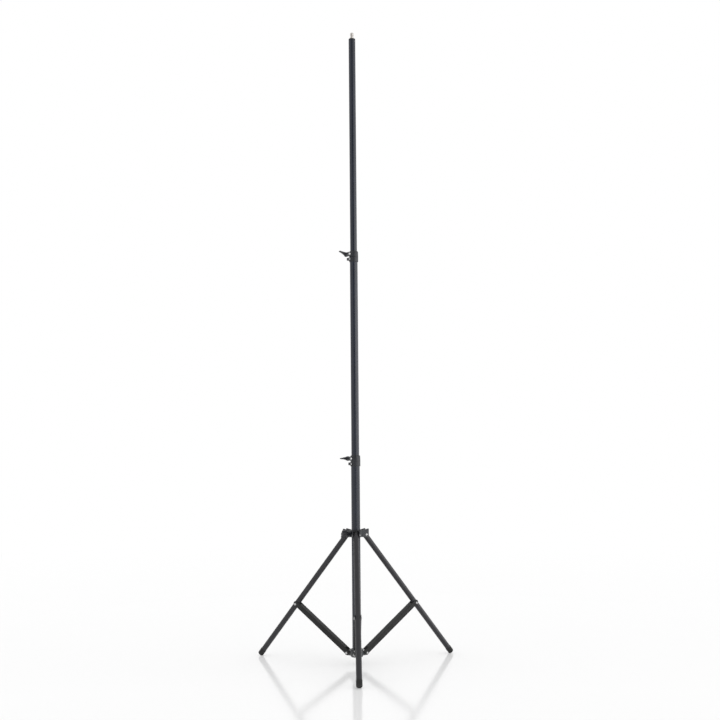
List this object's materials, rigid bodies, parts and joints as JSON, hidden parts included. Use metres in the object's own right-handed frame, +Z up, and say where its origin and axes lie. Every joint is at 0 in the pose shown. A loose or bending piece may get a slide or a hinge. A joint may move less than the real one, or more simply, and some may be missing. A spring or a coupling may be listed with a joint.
{
  "type": "light stand",
  "caption": "Telescopic light stand: a tube mast with lever collars and a top spigot, on folding legs with channel braces and a sliding hub.",
  "frame": {"origin": "on the floor, on the mast's axis", "axes": "+Z up along the mast, -Y along the front leg, +X to the right leg's side"},
  "size_m": [0.8834, 0.7686, 2.797],
  "materials": {
    "tube": "black coated, semi-gloss",
    "leg_tube": "black coated, satin",
    "brace": "black coated, satin",
    "casting": "moulded black, fine grain",
    "handle": "moulded black",
    "nylon": "smooth black nylon",
    "rubber": "moulded rubber",
    "steel": "zinc plated, bright",
    "spigot": "nickel plated, satin"
  },
  "bodies": {
    "mast_base": {"base_tube": "tube", "base_cap": "nylon", "base_hub": "casting", "lug_screws": "steel", "lower_collar": "casting", "lower_bush": "nylon", "lower_clamp_bolt": "steel", "lower_fixing_screw": "steel", "lower_fixing_nut": "steel"},
    "middle_section": {"middle_tube": "tube", "middle_guide": "nylon", "upper_collar": "casting", "upper_bush": "nylon", "upper_clamp_bolt": "steel", "upper_fixing_screw": "steel", "upper_fixing_nut": "steel"},
    "top_section": {"top_tube": "tube", "top_guide": "nylon", "top_cap": "nylon", "spigot": "spigot", "spigot_screw": "steel"},
    "leg_hub": {"leg_hub": "casting", "hub_sleeve": "nylon", "hub_brake_pad": "nylon", "hub_rivets": "steel"},
    "hub_knob": {"hub_knob": "handle", "hub_knob_stud": "steel"},
    "lower_lever": {"lower_lever": "handle", "lower_lever_nut": "steel"},
    "upper_lever": {"upper_lever": "handle", "upper_lever_nut": "steel"},
    "brace_front": {"brace_front": "brace", "brace_upper_rivet_front": "steel", "brace_lower_rivet_front": "steel", "brace_washers_front": "steel"},
    "leg_front": {"leg_tube_front": "leg_tube", "leg_plug_front": "nylon", "leg_pin_front": "steel", "foot_front": "rubber"},
    "brace_right": {"brace_right": "brace", "brace_upper_rivet_right": "steel", "brace_lower_rivet_right": "steel", "brace_washers_right": "steel"},
    "leg_right": {"leg_tube_right": "leg_tube", "leg_plug_right": "nylon", "leg_pin_right": "steel", "foot_right": "rubber"},
    "brace_left": {"brace_left": "brace", "brace_upper_rivet_left": "steel", "brace_lower_rivet_left": "steel", "brace_washers_left": "steel"},
    "leg_left": {"leg_tube_left": "leg_tube", "leg_plug_left": "nylon", "leg_pin_left": "steel", "foot_left": "rubber"}
  },
  "joints": [
    {"name": "middle_slide", "type": "slide", "parent": "mast_base", "child": "middle_section", "axis": [0, 0, 1], "range_m": [-0.74, 0]},
    {"name": "top_slide", "type": "slide", "parent": "middle_section", "child": "top_section", "axis": [0, 0, 1], "range_m": [-0.87, 0]},
    {"name": "hub_slide", "type": "slide", "parent": "mast_base", "child": "leg_hub", "axis": [0, 0, 1], "range_m": [0, 0.22481]},
    {"name": "knob_turn", "type": "hinge", "parent": "leg_hub", "child": "hub_knob", "pos_m": [-0.0433, -0.025, 0.56119], "axis": [-0.866, -0.5, 0], "range_deg": [0, 270]},
    {"name": "lower_lever_turn", "type": "hinge", "parent": "mast_base", "child": "lower_lever", "pos_m": [-0.03295, 0.00407, 0.8875], "axis": [0.5, -0.866, 0], "range_deg": [0, 90]},
    {"name": "upper_lever_turn", "type": "hinge", "parent": "middle_section", "child": "upper_lever", "pos_m": [-0.03295, 0.00407, 1.79], "axis": [0.5, -0.866, 0], "range_deg": [0, 110]},
    {"name": "brace_front_fold", "type": "hinge", "parent": "mast_base", "child": "brace_front", "pos_m": [0, -0.0445, 0.0475], "axis": [-1, 0, 0], "range_deg": [0, 53.35]},
    {"name": "leg_front_fold", "type": "hinge", "parent": "brace_front", "child": "leg_front", "pos_m": [0, -0.30521, 0.24155], "axis": [1, 0, 0], "range_deg": [0, 92.95]},
    {"name": "brace_right_fold", "type": "hinge", "parent": "mast_base", "child": "brace_right", "pos_m": [0.03854, 0.02225, 0.0475], "axis": [0.5, -0.866, 0], "range_deg": [0, 53.35]},
    {"name": "leg_right_fold", "type": "hinge", "parent": "brace_right", "child": "leg_right", "pos_m": [0.26432, 0.1526, 0.24155], "axis": [-0.5, 0.866, 0], "range_deg": [0, 92.95]},
    {"name": "brace_left_fold", "type": "hinge", "parent": "mast_base", "child": "brace_left", "pos_m": [-0.03854, 0.02225, 0.0475], "axis": [0.5, 0.866, 0], "range_deg": [0, 53.35]},
    {"name": "leg_left_fold", "type": "hinge", "parent": "brace_left", "child": "leg_left", "pos_m": [-0.26432, 0.1526, 0.24155], "axis": [-0.5, -0.866, 0], "range_deg": [0, 92.95]}
  ],
  "couplings": [
    {"joint": "brace_front_fold", "follows": "hub_slide", "rad_per_m": 4.1409},
    {"joint": "leg_front_fold", "follows": "hub_slide", "rad_per_m": 7.2153},
    {"joint": "brace_right_fold", "follows": "hub_slide", "rad_per_m": 4.1409},
    {"joint": "leg_right_fold", "follows": "hub_slide", "rad_per_m": 7.2153},
    {"joint": "brace_left_fold", "follows": "hub_slide", "rad_per_m": 4.1409},
    {"joint": "leg_left_fold", "follows": "hub_slide", "rad_per_m": 7.2153}
  ]
}
